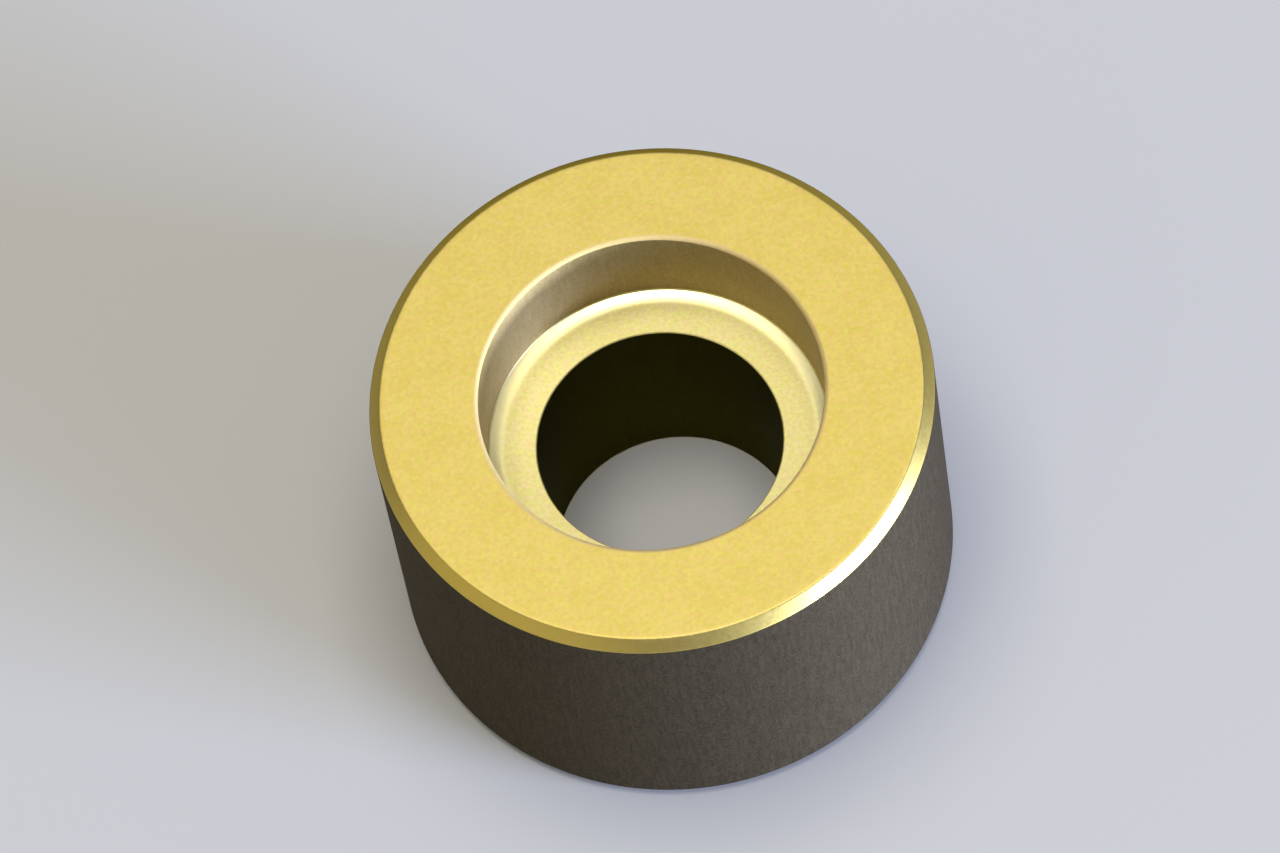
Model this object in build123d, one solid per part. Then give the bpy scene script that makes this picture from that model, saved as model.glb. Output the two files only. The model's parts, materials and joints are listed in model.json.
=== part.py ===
"""Counterbored bush: a short, thick-walled ring turned in one piece from brass bar.

The bush stands on its base, with its axis on +Z and its origin at the middle of the base.
From the top down it has a chamfered rim, a counterbore whose floor rises a little in a narrow
ring at the foot of its wall, and a bore that runs on through the floor to the base.

All sizes are in millimetres. Each one can be changed by itself.
"""
import os

from build123d import *

# Outside of the bush
outer_diameter = 25.0
height = 15.3
top_chamfer = 0.5  # leg of the 45 degree chamfer round the top face
base_chamfer = 0.6  # leg of the 45 degree chamfer round the base

# Counterbore, open at the top face
counterbore_diameter = 15.3
counterbore_depth = 4.9  # from the top face down to the flat floor
mouth_radius = 0.2  # rounding of the edge round the mouth

# Corner ring of the counterbore: a shallow cone from the flat floor up to the foot of the wall
corner_ring_width = 0.6  # from the wall in to where the cone would meet the flat floor
corner_ring_rise = 0.155  # height that the cone would reach at the wall
corner_ring_blend = 1.0  # radius that blends the cone into the floor
corner_radius = 0.1  # radius between the cone and the wall

# Bore, through the floor of the counterbore
bore_diameter = 11.0
bore_entry_break = 0.05  # leg of the edge break at the counterbore's floor
bore_exit_break = 0.1  # leg of the edge break at the base

# Radii and levels that the half-section is drawn with
outer_radius = outer_diameter / 2
counterbore_radius = counterbore_diameter / 2
bore_radius = bore_diameter / 2
base_level = 0.0
top_level = base_level + height
floor_level = top_level - counterbore_depth
ring_foot_radius = counterbore_radius - corner_ring_width
ring_top_level = floor_level + corner_ring_rise


def section_corner(section, radius, level):
    """The corner of the half-section at this radius and level."""
    return section.vertices().sort_by_distance((radius, level))[0]


def half_section():
    """Half of the section through the axis, radius to the right and level upwards."""
    with BuildSketch(Plane.XZ) as section:
        with BuildLine():
            Polyline(
                (bore_radius, base_level),
                (outer_radius, base_level),
                (outer_radius, top_level),
                (counterbore_radius, top_level),
                (counterbore_radius, ring_top_level),
                (ring_foot_radius, floor_level),
                (bore_radius, floor_level),
                close=True,
            )
        make_face()

        # Outside edges and the mouth of the counterbore
        chamfer(section_corner(section, outer_radius, top_level), top_chamfer)
        chamfer(section_corner(section, outer_radius, base_level), base_chamfer)
        fillet(section_corner(section, counterbore_radius, top_level), mouth_radius)

        # Both ends of the bore
        chamfer(section_corner(section, bore_radius, floor_level), bore_entry_break)
        chamfer(section_corner(section, bore_radius, base_level), bore_exit_break)

        # Both ends of the corner ring's cone
        fillet(section_corner(section, counterbore_radius, ring_top_level), corner_radius)
        fillet(section_corner(section, ring_foot_radius, floor_level), corner_ring_blend)
    return section.sketch


def counterbored_bush():
    """The half-section turned once round the axis."""
    with BuildPart() as bush:
        add(half_section())
        revolve(axis=Axis.Z)
    return bush.part


os.makedirs("parts", exist_ok=True)
export_step(counterbored_bush(), "parts/counterbored_bush.step")
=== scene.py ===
# %% [markdown]
# # A counterbored bush
#
# The bush is a short, thick ring of golden metal, turned in one piece on a lathe. Its faces were
# then blasted with fine grit, which leaves them matte and grainy. Its walls kept the lathe's fine
# marks and are greyer.
#
# The solid model gives the true sizes. This script dresses it: it spins a finer mesh in the same
# place, with softened edges, and gives every zone of it the finish it has, with painted light and
# shade in some of the colours.
# The first step loads the solid model as a frame and keeps its box.

import json
from math import cos, radians, sin

import bmesh
import bpy
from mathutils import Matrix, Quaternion, Vector


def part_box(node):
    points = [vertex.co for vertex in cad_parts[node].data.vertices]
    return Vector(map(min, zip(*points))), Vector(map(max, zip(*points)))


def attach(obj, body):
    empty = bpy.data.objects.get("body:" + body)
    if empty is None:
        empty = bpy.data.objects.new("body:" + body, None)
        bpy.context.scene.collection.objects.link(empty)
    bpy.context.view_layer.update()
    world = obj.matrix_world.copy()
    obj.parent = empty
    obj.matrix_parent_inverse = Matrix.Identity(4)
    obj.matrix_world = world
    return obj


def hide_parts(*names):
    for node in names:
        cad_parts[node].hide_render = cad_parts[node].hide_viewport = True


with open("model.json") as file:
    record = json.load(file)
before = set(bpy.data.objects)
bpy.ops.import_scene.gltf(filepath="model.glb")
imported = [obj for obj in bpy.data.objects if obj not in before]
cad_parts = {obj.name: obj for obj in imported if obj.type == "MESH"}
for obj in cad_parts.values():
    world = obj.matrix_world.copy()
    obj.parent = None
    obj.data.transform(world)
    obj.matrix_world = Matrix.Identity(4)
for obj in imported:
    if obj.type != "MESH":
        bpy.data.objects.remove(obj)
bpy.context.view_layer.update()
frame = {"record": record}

NODE = "counterbored_bush"

# %% [markdown]
# ## Sizes
#
# Blender counts in metres and a bush is made in millimetres, so one factor turns one into the
# other. The main sizes are read from the frame: its box gives the outside, and its mounts give the
# bore and the counterbore. The small sizes of the edges are written here.

# %% Sizes from the frame
MM = 0.001
low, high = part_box(NODE)
mounts = {mount["name"]: mount for mount in frame["record"]["mounts"]}

base = low[2] / MM
top = high[2] / MM
outer_radius = (high[0] - low[0]) / 2 / MM
bore_radius = mounts["bore"]["dims"]["r_mm"]
counterbore_radius = mounts["counterbore"]["dims"]["r_mm"]
print("outside radius, mm:", round(outer_radius, 3))
print("bore radius, mm:", bore_radius, " counterbore radius, mm:", counterbore_radius)

# %% Small sizes, in millimetres
top_chamfer = 0.5
base_chamfer = 0.6
mouth_rounding = 0.2
bore_entry_break = 0.05
bore_exit_break = 0.1
counterbore_depth = 4.9
corner_ring_width = 0.6
corner_ring_rise = 0.155
corner_ring_blend = 1.0
corner_radius = 0.1

chamfer_rounding = 0.2  # what blasting leaves of the sharp edges of a chamfer
exit_rounding = 0.05  # the same where the bore leaves the base
entry_rounding = 0.015  # the same on an edge break too small for more
guard_distance = 0.05  # how far from a corner a long flat stretch gets an extra ring of points

floor = top - counterbore_depth
ring_top = floor + corner_ring_rise
ring_foot_radius = counterbore_radius - corner_ring_width
print("floor at", round(floor, 3), "mm, its corner ring from", round(ring_foot_radius, 3), "mm out")

# %% [markdown]
# ## The profile
#
# A turned part is one outline spun round an axis. The outline below goes up the outside, across
# the top face, down the counterbore, through the bore and back along the base. Each corner has a
# radius, a height and a rounding.
#
# A long flat stretch between two rounded corners would shade as if it were bulged, because its
# normals are only known at its ends. So each such stretch gets a guard point close to each end,
# which holds its normals straight in between.

# %% The corners of the profile
corners = [
    (outer_radius - base_chamfer, base, chamfer_rounding),
    (outer_radius, base + base_chamfer, chamfer_rounding),
    (outer_radius, top - top_chamfer, chamfer_rounding),
    (outer_radius - top_chamfer, top, chamfer_rounding),
    (counterbore_radius, top, mouth_rounding),
    (counterbore_radius, ring_top, corner_radius),
    (ring_foot_radius, floor, corner_ring_blend),
    (bore_radius + bore_entry_break, floor, entry_rounding),
    (bore_radius, floor - bore_entry_break, entry_rounding),
    (bore_radius, base + bore_exit_break, exit_rounding),
    (bore_radius + bore_exit_break, base, exit_rounding),
]


def with_guards(corners):
    """The corners, with a guard point near both ends of every stretch that is long enough."""
    points = []
    for corner, next_corner in zip(corners, corners[1:] + corners[:1]):
        points.append(corner)
        start = Vector(corner[:2])
        end = Vector(next_corner[:2])
        length = (end - start).length
        reach = guard_distance + corner[2]
        next_reach = guard_distance + next_corner[2]
        if length > 2 * (reach + next_reach):
            along = (end - start) / length
            points.append((*(start + along * reach), 0.0))
            points.append((*(end - along * next_reach), 0.0))
    return points


profile_points = with_guards(corners)
print(len(corners), "corners,", len(profile_points), "points with guards")

# %% [markdown]
# ## A short way to write node trees
#
# Geometry Nodes and shaders are both trees of nodes. One small class writes either kind: `add`
# takes a node's type, its settings and what goes into its sockets. A second class wraps a socket,
# so that sums on it can be written as ordinary Python, and each operator adds its Math node.

# %% Tree and Value
class Value:
    """A number that a node tree works out. Sums on it add Math nodes."""

    def __init__(self, tree, socket):
        self.tree = tree
        self.socket = socket

    def maths(self, operation, *others):
        numbers = dict(enumerate((self, *others)))
        return self.tree.value("ShaderNodeMath", {"operation": operation}, numbers)

    def __add__(self, other):
        return self.maths("ADD", other)

    def __sub__(self, other):
        return self.maths("SUBTRACT", other)

    def __rsub__(self, other):
        return self.maths("MULTIPLY_ADD", -1.0, other)

    def __mul__(self, other):
        return self.maths("MULTIPLY", other)

    __radd__ = __add__
    __rmul__ = __mul__


class Tree:
    """A node tree, written as calls."""

    def __init__(self, node_tree):
        self.node_tree = node_tree

    def add(self, kind, settings=None, sockets=None):
        """One node: its settings first, then a value or a link for each socket named."""
        node = self.node_tree.nodes.new(kind)
        for name, setting in (settings or {}).items():
            setattr(node, name, setting)
        for key, given in (sockets or {}).items():
            source = given.socket if isinstance(given, Value) else given
            if isinstance(source, bpy.types.NodeSocket):
                self.node_tree.links.new(source, node.inputs[key])
            else:
                node.inputs[key].default_value = source
        return node

    def value(self, kind, settings=None, sockets=None, output=0):
        """The same as add, but gives back one output as a Value."""
        return Value(self, self.add(kind, settings, sockets).outputs[output])


# %% [markdown]
# ## Finishes
#
# Each finish is one material. Every one of them needs to know where on the bush it is: Object
# coordinates give the place in metres, and they are turned into millimetres, so that the size of
# a grain or the width of a streak can be written as it would be measured. One class makes the
# material with that place worked out, and gives it the few patterns that a metal needs.

# %% Finish
class Finish(Tree):
    """A metal finish, with the place on the bush in millimetres."""

    def __init__(self, name):
        self.material = bpy.data.materials.new(name)
        self.material.use_nodes = True
        super().__init__(self.material.node_tree)
        self.node_tree.nodes.clear()
        metres = self.add("ShaderNodeTexCoord").outputs["Object"]
        self.place = self.vector("SCALE", {0: metres, "Scale": 1 / MM}).outputs[0]

    def vector(self, operation, sockets):
        """A sum on vectors, as one Vector Math node."""
        return self.add("ShaderNodeVectorMath", {"operation": operation}, sockets)

    def noise(self, waves, detail, roughness=0.5, squeeze=(1, 1, 1)):
        """Random values round one half, with so many waves to the millimetre.

        A squeeze below one along an axis stretches the pattern that way.
        """
        place = self.vector("MULTIPLY", {0: self.place, 1: squeeze}).outputs[0]
        sockets = {"Vector": place, "Scale": waves, "Detail": detail, "Roughness": roughness}
        return self.value("ShaderNodeTexNoise", None, sockets)

    def rise(self, value, start, end):
        """Nought below start, one above end, and a smooth rise between."""
        sockets = {"Value": value, "From Min": start, "From Max": end}
        return self.value("ShaderNodeMapRange", {"interpolation_type": "SMOOTHSTEP"}, sockets)

    def from_axis(self):
        """How far a point is from the axis, in millimetres."""
        flat = self.vector("MULTIPLY", {0: self.place, 1: (1, 1, 0)}).outputs[0]
        return Value(self, self.vector("LENGTH", {0: flat}).outputs["Value"])

    def mix(self, factor, first, second, blend="MIX"):
        """The first colour where factor is nought, and the second, or their blend, at one."""
        settings = {"data_type": "RGBA", "blend_type": blend}
        return self.add("ShaderNodeMix", settings, {0: factor, 6: first, 7: second}).outputs[2]

    def metal(self, colour, roughness, relief, **constants):
        """The shader and the output. Relief is in millimetres. Constants are the same all over."""
        bump = self.add("ShaderNodeBump", None, {"Height": relief, "Distance": MM})
        shader = self.add("ShaderNodeBsdfPrincipled", None, {
            "Base Color": colour,
            "Metallic": 1.0,
            "Roughness": roughness,
            "Normal": bump.outputs[0],
            **constants,
        })
        self.add("ShaderNodeOutputMaterial", None, {"Surface": shader.outputs[0]})
        return self.material


# %% [markdown]
# ### Blasted gold
#
# Fine grit leaves a skin of shallow pits about a seventh of a millimetre across. Each pit tilts
# the surface a little, so the face sparkles softly and never mirrors. A bump from two noises gives
# the pits, the coarser one shifts the colour a little, and a broad noise keeps the face from
# looking like one flat patch. One more noise turns the gold slightly pink here and slightly green
# there, as a thin skin of tarnish does.
#
# The pits shade each other, so a blasted face does not glare when it is seen along its surface.
# Specular Tint is the colour of a metal at such a low angle, and a dark gold holds the glare down.
#
# The floor of the counterbore is painted paler than the top face: painted light, against the shade
# in the counterbore and for the light its walls throw onto it. Towards the foot of the wall the
# boring tool pressed it smoother, and there the pits are shallower. There it is painted paler
# still:
# painted light against the shade of the wall, which also whitens the ring's highlight. A smooth
# rise with the distance from the axis leads from one to the other, so no line shows between them.

# %% Blasted gold
green_gold = (0.97, 1.0, 0.82, 1.0)
pink_gold = (1.0, 0.955, 1.0, 1.0)
low_angle_tint = (0.28, 0.23, 0.14, 1.0)

unevenness = 0.1  # how far a pattern moves the roughness
fine_pit_share = 0.3  # depth of the fine pits, as a share of the coarse ones
painted_light_cover = 0.8  # how much of the painted lighter colour shows nearest the wall
pits_pressed_flat = 0.7  # share of the pits' depth that is lost there


def blasted(name, deep, pale, pit_depth, dullness, smooth_from, smooth_by, painted_light_colour, shine):
    """A blasted skin, deep to pale, smoother and painted lighter past smooth_by from the axis."""
    finish = Finish(name)
    grain = finish.noise(waves=5.0, detail=3.0, roughness=0.55)
    fine_grain = finish.noise(waves=13.0, detail=1.0)
    blotches = finish.noise(waves=0.45, detail=3.0)
    tarnish = finish.noise(waves=3.0, detail=2.0)

    paleness = finish.rise(grain * 0.8 + blotches * 0.5, start=0.36, end=0.94)
    pinkness = finish.rise(tarnish, start=0.3, end=0.7)
    gold = finish.mix(paleness, deep, pale)
    skin = finish.mix(pinkness, green_gold, pink_gold)
    tarnished = finish.mix(1.0, gold, skin, "MULTIPLY")

    smooth = finish.rise(finish.from_axis(), smooth_from, smooth_by)
    # Painted light: nearer the wall the colour turns to a paler one, against the shade the wall
    # casts and to whiten the ring's highlight.
    colour = finish.mix(smooth * painted_light_cover, tarnished, painted_light_colour)
    pits = grain * pit_depth + fine_grain * (pit_depth * fine_pit_share)
    relief = pits * (1 - smooth * pits_pressed_flat)
    roughness = blotches * unevenness + grain * unevenness + dullness - smooth * shine
    return finish.metal(colour, roughness, relief, **{"Specular Tint": low_angle_tint})


# %% [markdown]
# ### Turned metal
#
# The tool leaves fine rings round a wall. Light that falls on fine rings is spread along the axis,
# so a turned wall shines in upright bands. Anisotropic does the same in the shader: the shine is
# stretched, and a quarter turn stretches it across the rings. The streaks come from a noise that is
# stretched along the axis, and they are painted into the colour too: partly painted sheen, upright
# bands of shine, over an uneven tone. A speckle breaks them up, and the rings come from a noise
# that hardly varies but with height.
#
# The outside is the darkest wall. Its colour is painted dark: a painted dark reflection, over a
# greyer metal. It is only partly metallic, and a grey tint at a low angle dims its glare too.

# %% Turned metal
ring_depth = 0.001
speckle_depth = 0.002
quarter_turn = 0.25


def turned(name, dark, light, roughness, anisotropy, **constants):
    """A turned wall, streaked from its dark to its light colour."""
    finish = Finish(name)
    streaks = finish.noise(waves=5.5, detail=2.0, squeeze=(1, 1, 0.15))
    speckle = finish.noise(waves=9.0, detail=1.0)
    clouds = finish.noise(waves=0.8, detail=3.0)
    rings = finish.noise(waves=9.0, detail=3.0, roughness=0.7, squeeze=(0.02, 0.02, 1))

    # The streaks in the colour are partly painted sheen: upright bands of shine, over an uneven
    # tone.
    lightness = finish.rise(streaks * 0.4 + speckle * 0.65 + clouds * 0.05, start=0.25, end=0.85)
    colour = finish.mix(lightness, dark, light)
    relief = rings * ring_depth + speckle * speckle_depth
    constants = {"Anisotropic": anisotropy, "Anisotropic Rotation": quarter_turn, **constants}
    return finish.metal(colour, streaks * unevenness + roughness, relief, **constants)


# %% [markdown]
# ### Burnished metal
#
# The edges were broken with a tool that rubs as much as it cuts, and the grit rounded them over.
# They are smoother than the faces, and plain: only a faint grain is left. The chamfers have a dark
# tint at a low angle too: a painted dark reflection, which darkens their far side and keeps it
# golden.

# %% Burnished metal
grain_depth = 0.002


def burnished(name, dark, light, roughness, **constants):
    """A plain rubbed edge with a faint grain."""
    finish = Finish(name)
    grain = finish.noise(waves=6.0, detail=3.0, roughness=0.6)
    colour = finish.mix(grain, dark, light)
    return finish.metal(colour, grain * unevenness + roughness, grain * grain_depth, **constants)


# %% Make the finishes
nowhere = outer_radius * 2  # past the bush, so the top face has no smooth part

finishes = {
    "Faces": blasted(
        "blasted_faces", deep=(0.75, 0.592, 0.155, 1.0), pale=(0.875, 0.718, 0.24, 1.0),
        pit_depth=0.006, dullness=0.55, smooth_from=nowhere, smooth_by=nowhere + 1,
        painted_light_colour=(1.0, 1.0, 1.0, 1.0), shine=0.0),
    # The floor's colours are painted paler than the faces': painted light, against the shade in the
    # counterbore and for the light its walls throw onto it.
    "Floor": blasted(
        "blasted_floor", deep=(0.85, 0.76, 0.335, 1.0), pale=(1.0, 0.93, 0.51, 1.0),
        pit_depth=0.011, dullness=0.55, smooth_from=ring_foot_radius - 0.3,
        smooth_by=ring_foot_radius + 0.35, painted_light_colour=(0.95, 0.86, 0.46, 1.0), shine=0.28),
    # The chamfers' dark tint at a low angle is a painted dark reflection, which darkens their far
    # side.
    "Edges": burnished(
        "satin_chamfers", dark=(0.64, 0.49, 0.12, 1.0), light=(0.73, 0.575, 0.19, 1.0),
        roughness=0.34, **{"Specular Tint": (0.05, 0.04, 0.01, 1.0)}),
    # The rim's colours are painted paler than the faces': a painted highlight, which also lightens
    # the shaded line at the rim's near side.
    "Rim": burnished(
        "burnished_rim", dark=(0.75, 0.605, 0.265, 1.0), light=(0.87, 0.725, 0.385, 1.0),
        roughness=0.78),
    # The outside's near-black colours are a painted dark reflection, over a greyer metal.
    "Outside": turned(
        "turned_outside", dark=(0.049, 0.039, 0.024, 1.0), light=(0.102, 0.082, 0.053, 1.0),
        roughness=0.65, anisotropy=0.4,
        **{"Metallic": 0.7, "Specular IOR Level": 0.1, "Specular Tint": (0.5, 0.5, 0.5, 1.0)}),
    "Counterbore": turned(
        "bored_wall", dark=(0.44, 0.335, 0.125, 1.0), light=(0.58, 0.455, 0.24, 1.0),
        roughness=0.50, anisotropy=0.6),
    # The bore's near-black colours are painted shade: the deep bore lies in shade. A grey tint at a
    # low angle dims its reflections too.
    "Bore": turned(
        "bore_wall", dark=(0.040, 0.036, 0.004, 1.0), light=(0.075, 0.068, 0.009, 1.0),
        roughness=0.45, anisotropy=0.6, **{"Specular Tint": (0.5, 0.5, 0.5, 1.0)}),
}
print("finishes:", ", ".join(finish.name for finish in finishes.values()))

# %% [markdown]
# ## Spinning the profile
#
# On the bench the lathe spins the bar and the tool stays still. Here Geometry Nodes do the same:
# Fillet Curve rounds each corner by its own rounding, and Curve to Mesh sweeps the rounded profile
# round a circle. A change of any size remakes the whole bush, and no seam is left where the sweep
# closes.
#
# Curve to Mesh lays the profile's first axis outwards from the path and its second axis downwards,
# so the profile is drawn from the path's radius and its heights are drawn negative.

# %% The profile as a curve
path_radius = bore_radius

profile_curve = bpy.data.curves.new("bush_profile", "CURVE")
profile_curve.dimensions = "3D"
spline = profile_curve.splines.new("POLY")
spline.points.add(len(profile_points) - 1)
for point, (radius, level, rounding) in zip(spline.points, profile_points):
    point.co = ((radius - path_radius) * MM, -level * MM, 0.0, 1.0)
    point.radius = rounding
spline.use_cyclic_u = True
profile = bpy.data.objects.new("bush_profile", profile_curve)
bpy.context.collection.objects.link(profile)
print("profile curve:", len(spline.points), "points")

# %% The lathe tree's inputs
floor_margin = 0.5  # how far below its floor the counterbore's own zone reaches

lathe = bpy.data.node_groups.new("lathe", "GeometryNodeTree")
lathe_inputs = {
    "Path radius": ("NodeSocketFloat", path_radius * MM),
    "Turns in the circle": ("NodeSocketInt", 512),
    "Points in a rounding": ("NodeSocketInt", 7),
    "Rounding unit": ("NodeSocketFloat", MM),
    # A slope is how upright a normal stands: 0 on a wall, 1 on a face.
    "Wall slope": ("NodeSocketFloat", 0.4),
    "Inner wall slope": ("NodeSocketFloat", 0.12),
    "Edge slope": ("NodeSocketFloat", 0.995),
    "Chamfer slope": ("NodeSocketFloat", 0.92),
    "Outside from": ("NodeSocketFloat", (outer_radius + counterbore_radius) / 2 * MM),
    "Bore up to": ("NodeSocketFloat", (counterbore_radius + bore_radius) / 2 * MM),
    "Sunk below": ("NodeSocketFloat", (ring_top + corner_radius) * MM),
    "Sunk above": ("NodeSocketFloat", (floor - floor_margin) * MM),
}
lathe.interface.new_socket("Profile", in_out="INPUT", socket_type="NodeSocketGeometry")
for name, (kind, _) in lathe_inputs.items():
    lathe.interface.new_socket(name, in_out="INPUT", socket_type=kind)
for name in finishes:
    lathe.interface.new_socket(name, in_out="INPUT", socket_type="NodeSocketMaterial")
lathe.interface.new_socket("Turned", in_out="OUTPUT", socket_type="NodeSocketGeometry")
print("lathe inputs: the profile,", len(lathe_inputs), "sizes,", len(finishes), "finishes")

# %% Spin
tree = Tree(lathe)
given = tree.add("NodeGroupInput").outputs
corner_rounding = tree.value("GeometryNodeInputRadius") * given["Rounding unit"]
filleted = tree.add("GeometryNodeFilletCurve", {"mode": "POLY"}, {
    "Curve": given["Profile"],
    "Count": given["Points in a rounding"],
    "Radius": corner_rounding,
    "Limit Radius": True,
})
path = tree.add("GeometryNodeCurvePrimitiveCircle", {"mode": "RADIUS"}, {
    "Resolution": given["Turns in the circle"],
    "Radius": given["Path radius"],
})
upright_path = tree.add("GeometryNodeSetCurveNormal", {"mode": "Z_UP"}, {"Curve": path.outputs[0]})
even = tree.add("GeometryNodeSetCurveRadius", None, {"Curve": filleted.outputs[0], "Radius": 1.0})
spun = tree.add("GeometryNodeCurveToMesh", None, {
    "Curve": upright_path.outputs[0],
    "Profile Curve": even.outputs[0],
})
shaded = tree.add("GeometryNodeSetShadeSmooth", None, {0: spun.outputs[0]})
print("spun in", lathe_inputs["Turns in the circle"][1], "steps")

# %% [markdown]
# Each finish goes on by a rule, which looks at the normal. On a wall it lies flat, on a face it
# stands upright, and on an edge it is in between. The distance from the axis says which wall or
# edge it is, and the height parts the mouth, the floor and the base.
#
# The rules overlap, and the last finish to go on stays. The grit also reached the upper half of
# the rounding between the top face and its chamfer, so the chamfer's finish starts lower down.
# The chamfer at the base has the outside's finish, with its painted dark colour.

# %% Give each zone its finish
position = tree.add("GeometryNodeInputPosition").outputs[0]
normal = tree.add("GeometryNodeInputNormal").outputs[0]
placed = tree.add("ShaderNodeSeparateXYZ", None, {0: position}).outputs
square = Value(tree, placed["X"]) * placed["X"] + Value(tree, placed["Y"]) * placed["Y"]
distance = square.maths("SQRT")
height = Value(tree, placed["Z"])
upright = tree.value("ShaderNodeSeparateXYZ", None, {0: normal}, output="Z").maths("ABSOLUTE")

is_wall = upright.maths("LESS_THAN", given["Wall slope"])
is_inner_wall = upright.maths("LESS_THAN", given["Inner wall slope"])
is_edge = upright.maths("LESS_THAN", given["Edge slope"])
is_chamfer = upright.maths("LESS_THAN", given["Chamfer slope"])
is_low = height.maths("LESS_THAN", given["Sunk above"])
is_sunk = height.maths("LESS_THAN", given["Sunk below"]) * (1 - is_low)
is_high = height.maths("GREATER_THAN", given["Sunk below"])
is_outside = distance.maths("GREATER_THAN", given["Outside from"])
is_bore = distance.maths("LESS_THAN", given["Bore up to"])
zones = {
    "Outside": (is_edge * is_low).maths("MAXIMUM", is_wall) * is_outside,
    "Edges": is_chamfer * (1 - is_wall) * (1 - is_low) * is_outside,
    "Floor": is_sunk * (1 - is_outside),
    "Rim": is_edge * (1 - is_outside) * (1 - is_bore) * is_high,
    "Counterbore": is_inner_wall * (1 - is_outside) * (1 - is_bore),
    "Bore": is_wall * is_bore,
}
whole = tree.add("GeometryNodeRealizeInstances", None, {0: shaded.outputs[0]})
dressed = tree.add("GeometryNodeSetMaterial", None, {
    "Geometry": whole.outputs[0],
    "Material": given["Faces"],
})
for name, zone in zones.items():
    dressed = tree.add("GeometryNodeSetMaterial", None, {
        "Geometry": dressed.outputs[0],
        "Selection": zone,
        "Material": given[name],
    })
tree.add("NodeGroupOutput", None, {0: dressed.outputs[0]})
print("lathe tree:", len(lathe.nodes), "nodes")

# %% [markdown]
# The modifier's inputs are set before Blender works the tree out for the first time. Then the
# result is copied into a plain mesh, the curve and its modifier are thrown away, and the faces are
# made to point outwards.

# %% Run the lathe
modifier = profile.modifiers.new("lathe", "NODES")
modifier.node_group = lathe
sockets = [item for item in lathe.interface.items_tree if item.in_out == "INPUT"]
identifiers = {socket.name: socket.identifier for socket in sockets}
for name, (_, size) in lathe_inputs.items():
    modifier[identifiers[name]] = size
for name, material in finishes.items():
    modifier[identifiers[name]] = material

evaluated = profile.evaluated_get(bpy.context.evaluated_depsgraph_get())
bush_mesh = bpy.data.meshes.new_from_object(evaluated)
profile.modifiers.remove(modifier)
bpy.data.objects.remove(profile)
print("finishes on the bush:", len(bush_mesh.materials))

# %% Faces outwards
bush_mesh.name = "turned_bush"
shape = bmesh.new()
shape.from_mesh(bush_mesh)
bmesh.ops.recalc_face_normals(shape, faces=shape.faces)
open_edges = sum(1 for edge in shape.edges if len(edge.link_faces) != 2)
volume = shape.calc_volume(signed=True) / MM**3
shape.to_mesh(bush_mesh)
shape.free()
print("bush mesh:", len(bush_mesh.polygons), "faces,", open_edges, "open edges")
print("volume:", round(volume), "cubic mm")
for index, material in enumerate(bush_mesh.materials):
    count = sum(1 for face in bush_mesh.polygons if face.material_index == index)
    print("  ", material.name, count, "faces")

# %% Put the bush in the frame
bush = bpy.data.objects.new("turned_bush", bush_mesh)
bpy.context.collection.objects.link(bush)

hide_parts(NODE)
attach(bush, "root")
print(bush.name, "takes the place of", NODE)

# %% [markdown]
# ## The studio
#
# A plain pale table, a soft pale sky and four lamps. The overhead lamp lights the faces. The low
# lamp at the right draws a bright line on the chamfer and reaches the far wall of the counterbore,
# and the side lamp below it lights the outside. A weak warm lamp at the left keeps the chamfer
# golden there.

# %% Table
table_colour = (0.57, 0.563, 0.535, 1.0)
table_half = 1.5
table_corners = [
    (-table_half, -table_half, 0),
    (table_half, -table_half, 0),
    (table_half, table_half, 0),
    (-table_half, table_half, 0),
]
table_mesh = bpy.data.meshes.new("table")
table_mesh.from_pydata(table_corners, [], [(0, 1, 2, 3)])
table = bpy.data.objects.new("table", table_mesh)
bpy.context.collection.objects.link(table)
table_paint = bpy.data.materials.new("table_paint")
table_paint.use_nodes = True
table_shader = table_paint.node_tree.nodes["Principled BSDF"]
table_shader.inputs["Base Color"].default_value = table_colour
table_shader.inputs["Roughness"].default_value = 1.0
table_shader.inputs["Specular IOR Level"].default_value = 0.0  # plain matt card, without any glare
table_mesh.materials.append(table_paint)
print("table:", 2 * table_half, "m across")

# %% Sky
sky_colour = (1.0, 0.985, 0.95, 1.0)
sky_strength = 0.2
studio = bpy.data.worlds.new("studio")
bpy.context.scene.world = studio
studio.use_nodes = True
background = studio.node_tree.nodes["Background"]
background.inputs["Color"].default_value = sky_colour
background.inputs["Strength"].default_value = sky_strength
print("sky strength:", sky_strength)

# %% Lamps
middle = Vector((0, 0, top * MM))


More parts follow.
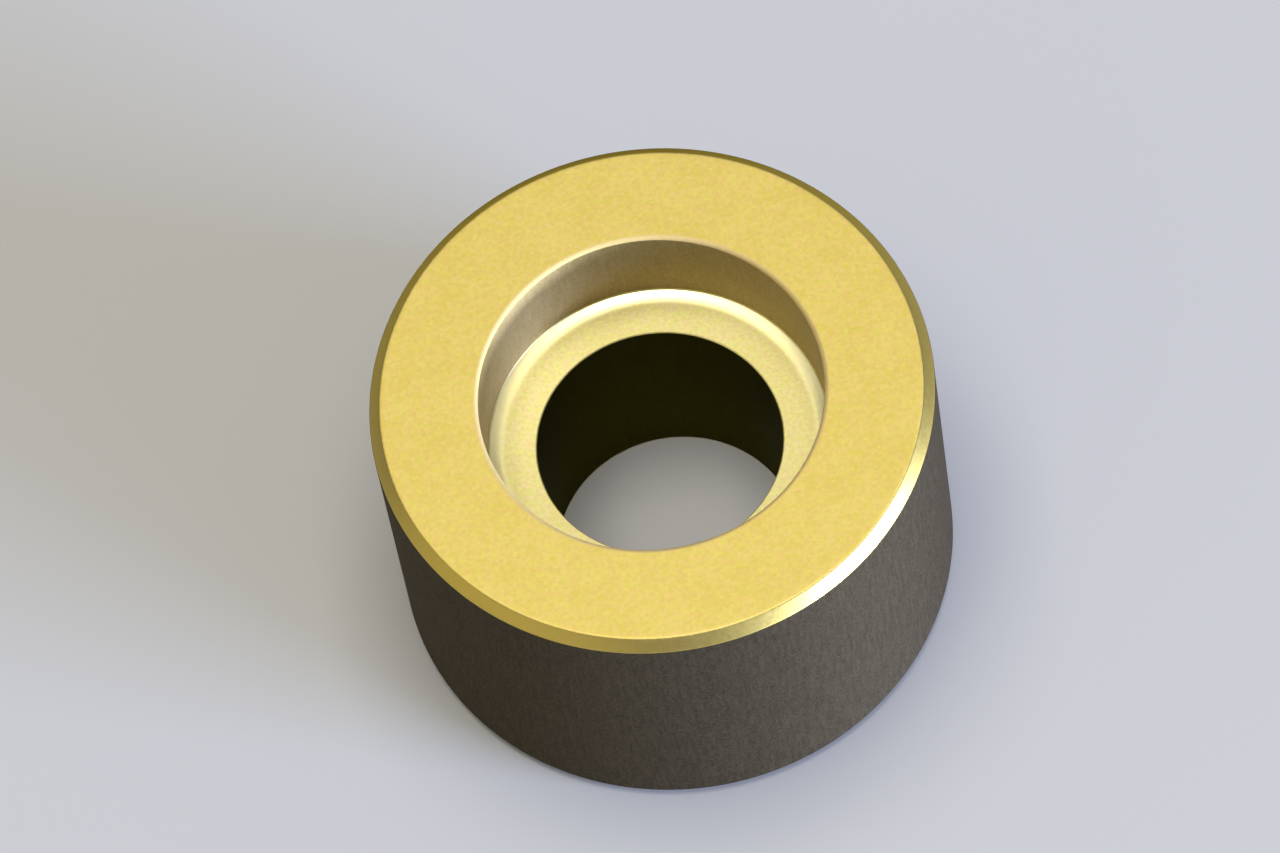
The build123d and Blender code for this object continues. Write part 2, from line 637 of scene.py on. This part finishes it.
def lamp(name, azimuth, elevation, away, width, height, watts, tint):
    """A soft lamp that faces the bush. Azimuth 0 is at +X, and 90 at +Y."""
    data = bpy.data.lights.new(name, "AREA")
    data.shape = "RECTANGLE"
    data.size = width
    data.size_y = height
    data.energy = watts
    data.color = tint
    holder = bpy.data.objects.new(name, data)
    around = radians(azimuth)
    up = radians(elevation)
    direction = Vector((cos(around) * cos(up), sin(around) * cos(up), sin(up)))
    holder.location = middle + direction * away
    holder.rotation_mode = "QUATERNION"
    holder.rotation_quaternion = direction.to_track_quat("Z", "Y")
    bpy.context.collection.objects.link(holder)
    print(name, "at", azimuth, "degrees round and", elevation, "up,", watts, "W")


lamp("overhead_lamp", azimuth=180, elevation=88, away=0.5,
     width=0.34, height=0.3, watts=1.75, tint=(1.0, 0.985, 0.955))
lamp("low_lamp", azimuth=-33, elevation=17.7, away=1.2,
     width=0.51, height=0.09, watts=18, tint=(0.48, 0.57, 1.0))
lamp("side_lamp", azimuth=-36, elevation=3, away=1.2,
     width=0.9, height=0.09, watts=24, tint=(0.68, 0.78, 1.0))
lamp("warm_lamp", azimuth=208, elevation=19, away=1.2,
     width=1.8, height=0.6, watts=1.7, tint=(1.0, 0.88, 0.30))

# %% [markdown]
# ## The camera
#
# It looks down steeply from the front, with a long lens from about forty centimetres, and leans
# a little to one side.

# %% Camera
camera_elevation = radians(62.62)
camera_lean = radians(-10.69)
camera_distance = 393.3 * MM
camera_aim = Vector((-0.74 * MM, -1.57 * MM, top * MM))
frame_width = 1280  # pixels across the finished picture
focal_length = 8966  # pixels, as seen on a picture that wide

camera_data = bpy.data.cameras.new("camera")
camera_data.sensor_width = 36.0
camera_data.lens = camera_data.sensor_width * focal_length / frame_width
camera_data.clip_start = 0.01
camera = bpy.data.objects.new("camera", camera_data)
backwards = Vector((0, -cos(camera_elevation), sin(camera_elevation)))
camera.location = camera_aim + backwards * camera_distance
camera.rotation_mode = "QUATERNION"
camera.rotation_quaternion = backwards.to_track_quat("Z", "Y") @ Quaternion((0, 0, 1), camera_lean)
bpy.context.collection.objects.link(camera)
bpy.context.scene.camera = camera
bpy.context.scene.view_settings.view_transform = "Standard"
print("lens:", round(camera_data.lens, 1), "mm")
